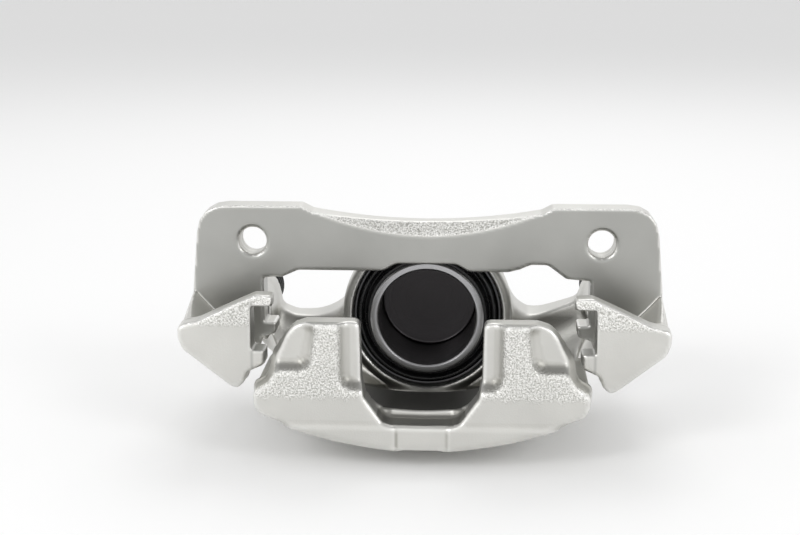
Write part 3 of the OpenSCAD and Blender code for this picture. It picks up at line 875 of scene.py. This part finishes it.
# %% Boot retaining ring
def wire_ring(radius, y, wire, axis, gap, steps=150, around=14):
    """A round wire bent into an open ring: a circle of the wire's radius carried along an arc,
    with its first and last rings drawn in to a point, so that the ends are closed and rounded."""
    turn = np.linspace(gap / 2, 2 * math.pi - gap / 2, steps)
    turn = turn + math.pi / 2
    size = np.ones(steps)
    size[[0, -1]] = 0.02
    size[[1, -2]] = 0.75
    turn[0], turn[-1] = turn[1] - 0.010, turn[-2] + 0.010
    ring = np.arange(around) * 2 * math.pi / around
    r = radius + wire * size[:, None] * np.cos(ring)
    yy = y + wire * size[:, None] * np.sin(ring)
    across, up = np.cos(turn)[:, None], np.sin(turn)[:, None]
    points = np.stack([axis[0] + r * across, yy, axis[1] + r * up], -1)
    i, j = np.meshgrid(np.arange(steps - 1), np.arange(around), indexing="ij")
    j2 = (j + 1) % around
    quads = np.stack([i * around + j, i * around + j2, (i + 1) * around + j2, (i + 1) * around + j], -1)
    caps = [list(range(around)), list(range((steps - 1) * around, steps * around))]
    along = np.repeat(turn, around) * radius
    return points.reshape(-1, 3), quads.reshape(-1, 4).tolist() + caps, r.ravel(), along


points, faces, r, along = wire_ring(34.76, 7.1, 0.9, PISTON, 0.22)
make_piece("boot_retaining_ring_finished", points, faces, "caliper", ["boot_retaining_ring"], "dark_steel",
           dark_steel, 60, radius=r, along=along, dark=np.zeros(len(r)))

# %% Piston seal
turned_piece("piston_seal", [(27.1, 16.1), (29.9, 16.1), (29.9, 19.3), (27.1, 19.3)], PISTON,
             "caliper", "rubber_black", black_rubber, 0.35)

# %% [markdown]
# ## Guides
# Each guide is a steel sleeve clamped to the bracket by a bolt. The ear slides on it through a
# rubber bushing, a wiper ring keeps the front clean and a ridged boot closes the back. The boot
# is held by the ear at one end and by the washer at the other.

# %% Guide pieces
def guide_boot_profile(y0, y1, ridges=4):
    """A bellows: a row of rounded ridges outside, and the same waves inside a thin wall."""
    pitch = (y1 - y0) / ridges
    t = np.linspace(0, ridges, ridges * 14 + 1)
    wave = (0.5 - 0.5 * np.cos(2 * math.pi * t)) ** 0.75
    outside = np.stack([11.1 + 2.1 * wave, y0 + t * pitch], 1)
    inside = np.stack([9.5 + 2.1 * wave, y0 + t * pitch], 1)
    foot = [(9.1, y0), (11.9, y0)]
    cuff = [(11.7, y1), (9.1, y1), (9.1, y1 - 1)]
    return np.concatenate([foot, outside[1:-1], cuff, inside[2:-2][::-1], [(9.1, y0 + 1)]])


guide_boots = {}
hole_r = SHANK_R + 0.02
bore_r = SLEEVE_R + 0.06
for side in (-1, 1):
    axis = GUIDES[side]
    name = SIDE_NAME[side]
    turned_piece("guide_sleeve_" + name,
                 [(hole_r, 0), (SLEEVE_R, 0), (SLEEVE_R, WASHER_Y), (hole_r, WASHER_Y)],
                 axis, "bracket", "turned_steel", turned_steel, 0.5)
    turned_piece("guide_washer_" + name,
                 [(hole_r, WASHER_Y), (11, WASHER_Y), (11, WASHER_END), (hole_r, WASHER_END)],
                 axis, "bracket", "zinc_steel", zinc_steel, 0.4)
    turned_piece("guide_bolt_" + name,
                 [(0, -10), (4, -10), (SHANK_R, -9), (SHANK_R, 59.2), (10.1, WASHER_END), (10.1, 60.4),
                  (9.4, 61.3), (11, 61.3), (11, 67.2), (8.2, 68.3), (6.2, 68.3), (5.6, 67.5), (0, 67.5)],
                 axis, "bracket", "zinc_steel", zinc_steel,
                 [0, 0.2, 0.2, 0.2, 0.3, 0.3, 0.1, 0.1, 0, 0.1, 0.2, 0.3, 0],
                 across_flats=17, hex_from=61.2, hex_to=69, turns=120, soft=28)
    turned_piece("bushing_" + name,
                 [(bore_r, WIPER_END), (BUSHING_R, WIPER_END), (BUSHING_R, BOSS_OUT), (bore_r, BOSS_OUT)],
                 axis, "caliper", "rubber_black", black_rubber, 0.3)
    turned_piece("wiper_ring_" + name,
                 [(bore_r, 5.2), (9.4, BOSS_IN), (10, 5.9), (10.6, 5.9), (WIPER_R, BOSS_IN),
                  (WIPER_R, WIPER_END), (bore_r, WIPER_END)],
                 axis, "caliper", "rubber_black", black_rubber, 0.25)
    guide_boots[side] = turned_piece("guide_boot_" + name, guide_boot_profile(BOSS_OUT, WASHER_Y),
                                     axis, None, "rubber_black", black_rubber, 0.1, soft=60)

# %% [markdown]
# ## Bleeder
# The bleeder screw lets air out of the brake. It is a hexagon with a barbed nipple for a tube,
# and a rubber cap keeps dirt out.

# %% Bleeder screw and cap
turned_piece("bleeder_screw",
             [(0, 51.5), (1.5, 51.5), (4, 53.5), (4, 63), (6, 63), (6, 68.4), (5.2, 69), (2.4, 69),
              (2.4, 72.6), (2.3, 73.2), (3, 74.2), (3, 74.8), (2.3, 78), (1.0, 78), (1.0, 70), (0, 70)],
             BLEEDER, "bleeder", "zinc_steel", zinc_steel,
             [0, 0.1, 0.3, 0, 0.2, 0.2, 0.2, 0, 0.3, 0.2, 0.2, 0.2, 0.3, 0.2, 0, 0],
             across_flats=10, hex_from=62.9, hex_to=69.1, turns=96, soft=28)
turned_piece("bleeder_cap",
             [(3.06, 69.5), (5.5, 69.5), (5.5, 71.3), (4.8, 71.9), (4.6, 79.6), (3.4, 81), (0, 81),
              (0, 78.4), (3.06, 78.2)],
             BLEEDER, "cap", "rubber_black", black_rubber, [0.2, 0.4, 0.5, 0.5, 1.2, 0.8, 0, 0, 0.3])

# %% [markdown]
# ## Boots between moving parts
# Three boots join bodies that move. Last of all, when their meshes are final, their transforms
# are baked into their meshes.

# %% Bake the boots' transforms
def at(axis, y):
    """A point on an axis along Y, in metres."""
    return (axis[0] * MM, y * MM, axis[1] * MM)


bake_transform(dust_boot)
for side in (-1, 1):
    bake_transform(guide_boots[side])

# %% [markdown]
# ## Camera, light and floor
# Bright metal shows its surroundings, so the light is what shapes it. A pale room with a darker
# ceiling gives soft tones, and wide lights in front and behind draw the edges.

# %% Camera
camera_data = bpy.data.cameras.new("camera")
camera = bpy.data.objects.new("camera", camera_data)
bpy.context.scene.collection.objects.link(camera)
camera_data.lens = 67.5
camera_data.sensor_width = 36
camera.location = (0.024, -0.6933, 0.1439)
camera.rotation_euler = (math.radians(90 - 12.9), 0, math.radians(3.05))
bpy.context.scene.camera = camera

# %% Floor
FLOOR_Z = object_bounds()[0][2] - 0.0004
FLOOR_REACH = 14.0
corner = [(-FLOOR_REACH, -FLOOR_REACH), (FLOOR_REACH, -FLOOR_REACH), (FLOOR_REACH, FLOOR_REACH),
          (-FLOOR_REACH, FLOOR_REACH)]
floor_mesh = bpy.data.meshes.new("floor")
floor_mesh.from_pydata([(x, y, FLOOR_Z) for x, y in corner], [], [(0, 1, 2, 3)])
floor = bpy.data.objects.new("floor", floor_mesh)
bpy.context.scene.collection.objects.link(floor)
floor_paint, tree, shader = new_material("floor_paint", 0.0)
shader.inputs["Base Color"].default_value = (0.97, 0.97, 0.97, 1)
shader.inputs["Roughness"].default_value = 0.9
floor_mesh.materials.append(floor_paint)

# %% Room and lights
world = bpy.data.worlds.new("room")
bpy.context.scene.world = world
world.use_nodes = True
tree = world.node_tree
direction = tree.nodes.new("ShaderNodeTexCoord").outputs["Generated"]
height = tree.nodes.new("ShaderNodeSeparateXYZ")
tree.links.new(direction, height.inputs[0])
shade = stretch(tree, height.outputs["Z"], 0.1, 0.8, 1.15, 0.58)
tree.links.new(shade, tree.nodes["Background"].inputs["Strength"])
tree.nodes["Background"].inputs["Color"].default_value = (1, 1, 1, 1)


def soft_light(name, place, aim, size, power):
    """A square area light at place, turned to face aim."""
    data = bpy.data.lights.new(name, "AREA")
    data.shape = "SQUARE"
    data.size = size
    data.energy = power
    light = bpy.data.objects.new(name, data)
    bpy.context.scene.collection.objects.link(light)
    light.location = place
    light.rotation_euler = (Vector(aim) - Vector(place)).to_track_quat("-Z", "Y").to_euler()


soft_light("front_left", (-0.9, -1.2, 0.9), (0, 0, -0.03), 0.6, 7)
soft_light("front_right", (1.0, -1.0, 0.7), (0, 0, -0.03), 0.5, 4)
soft_light("top_back", (0.1, 0.9, 1.1), (0, 0, -0.03), 0.8, 4)
bpy.context.scene.view_settings.view_transform = "Standard"
